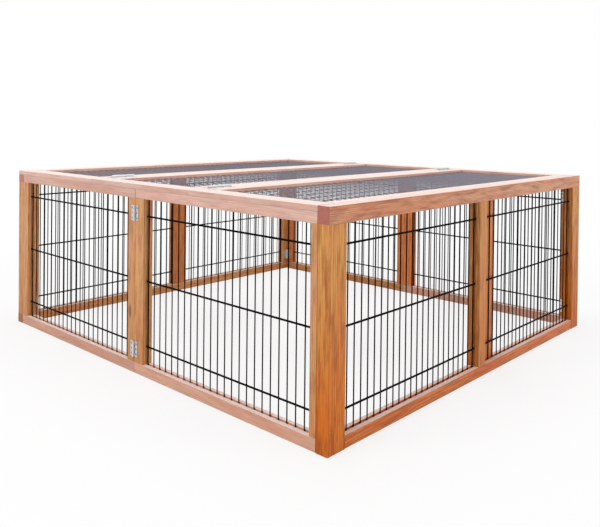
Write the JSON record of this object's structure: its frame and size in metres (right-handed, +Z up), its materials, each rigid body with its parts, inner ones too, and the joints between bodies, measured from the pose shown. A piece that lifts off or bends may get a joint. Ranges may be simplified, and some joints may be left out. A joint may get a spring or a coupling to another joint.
{
  "type": "outdoor rabbit run",
  "caption": "Square timber-framed wire run for a rabbit on grass, with walls that fold flat and a lift-off roof of three hinged mesh lids",
  "frame": {"origin": "ground level under the middle of the run", "axes": "+X along the front wall to its right end, +Y from the front wall to the rear wall, +Z up"},
  "size_m": [1.2126, 1.19, 0.4613],
  "materials": {
    "frame_timber": "sawn and planed fir, oiled golden to pinkish brown",
    "dark_timber": "reddish brown fir",
    "lid_timber": "pale pinkish fir",
    "wall_wire": "black coated welded wire",
    "roof_wire": "blue grey coated welded wire",
    "zinc": "zinc plated sheet steel"
  },
  "bodies": {
    "front_wall": {"front_top_rail": "frame_timber", "front_bottom_rail": "frame_timber", "front_left_stile": "frame_timber", "front_right_stile": "frame_timber", "front_mid_stile": "dark_timber", "front_mesh_batten": "dark_timber", "front_left_mesh": "wall_wire", "front_right_mesh": "wall_wire", "front_left_leaves": "zinc", "front_right_leaves": "zinc"},
    "left_front_panel": {"left_front_top_rail": "frame_timber", "left_front_bottom_rail": "frame_timber", "left_front_end_stile": "frame_timber", "left_front_seam_stile": "frame_timber", "left_front_mesh": "wall_wire", "left_front_corner_leaves": "zinc", "left_front_seam_leaves": "zinc"},
    "left_rear_panel": {"left_rear_top_rail": "frame_timber", "left_rear_bottom_rail": "frame_timber", "left_rear_end_stile": "frame_timber", "left_rear_seam_stile": "frame_timber", "left_rear_mesh": "wall_wire", "left_rear_corner_leaves": "zinc", "left_rear_seam_leaves": "zinc"},
    "right_front_panel": {"right_front_top_rail": "frame_timber", "right_front_bottom_rail": "frame_timber", "right_front_end_stile": "frame_timber", "right_front_seam_stile": "frame_timber", "right_front_mesh": "wall_wire", "right_front_corner_leaves": "zinc", "right_front_seam_leaves": "zinc"},
    "right_rear_panel": {"right_rear_top_rail": "frame_timber", "right_rear_bottom_rail": "frame_timber", "right_rear_end_stile": "frame_timber", "right_rear_seam_stile": "frame_timber", "right_rear_mesh": "wall_wire", "right_rear_corner_leaves": "zinc", "right_rear_seam_leaves": "zinc"},
    "rear_wall": {"rear_top_rail": "frame_timber", "rear_bottom_rail": "frame_timber", "rear_left_stile": "frame_timber", "rear_right_stile": "frame_timber", "rear_mid_stile": "dark_timber", "rear_left_mesh": "wall_wire", "rear_right_mesh": "wall_wire", "rear_left_leaves": "zinc", "rear_right_leaves": "zinc"},
    "roof": {"middle_lid_long_rails": "lid_timber", "middle_lid_side_rails": "lid_timber", "middle_lid_mesh": "roof_wire", "middle_lid_leaves": "zinc"},
    "front_lid": {"front_lid_long_rails": "lid_timber", "front_lid_side_rails": "lid_timber", "front_lid_mesh": "roof_wire", "front_lid_leaves": "zinc"},
    "rear_lid": {"rear_lid_long_rails": "lid_timber", "rear_lid_side_rails": "lid_timber", "rear_lid_mesh": "roof_wire", "rear_lid_leaves": "zinc"}
  },
  "joints": [
    {"name": "left_front_fold", "type": "hinge", "parent": "front_wall", "child": "left_front_panel", "pos_m": [-0.56865, -0.56365, 0.2275], "axis": [0, 0, -1], "range_deg": [0, 90]},
    {"name": "left_seam_fold", "type": "hinge", "parent": "left_front_panel", "child": "left_rear_panel", "pos_m": [-0.60335, 0, 0.2275], "axis": [0, 0, 1], "range_deg": [0, 180]},
    {"name": "rear_wall_fold", "type": "hinge", "parent": "left_rear_panel", "child": "rear_wall", "pos_m": [-0.56865, 0.56365, 0.2275], "axis": [0, 0, -1], "range_deg": [0, 90]},
    {"name": "right_front_fold", "type": "hinge", "parent": "front_wall", "child": "right_front_panel", "pos_m": [0.56865, -0.56365, 0.2275], "axis": [0, 0, 1], "range_deg": [0, 90]},
    {"name": "right_seam_fold", "type": "hinge", "parent": "right_front_panel", "child": "right_rear_panel", "pos_m": [0.60335, 0, 0.2275], "axis": [0, 0, -1], "range_deg": [0, 180]},
    {"name": "roof_lift", "type": "slide", "parent": "front_wall", "child": "roof", "axis": [0, 0, 1], "range_m": [0, 0.3]},
    {"name": "front_lid_open", "type": "hinge", "parent": "roof", "child": "front_lid", "pos_m": [0, -0.1935, 0.45835], "axis": [-1, 0, 0], "range_deg": [0, 110]},
    {"name": "rear_lid_open", "type": "hinge", "parent": "roof", "child": "rear_lid", "pos_m": [0, 0.1935, 0.45835], "axis": [1, 0, 0], "range_deg": [0, 110]}
  ],
  "couplings": [
    {"joint": "left_seam_fold", "follows": "left_front_fold", "ratio": 2},
    {"joint": "rear_wall_fold", "follows": "left_front_fold", "ratio": 1},
    {"joint": "right_front_fold", "follows": "left_front_fold", "ratio": 1},
    {"joint": "right_seam_fold", "follows": "left_front_fold", "ratio": 2}
  ]
}
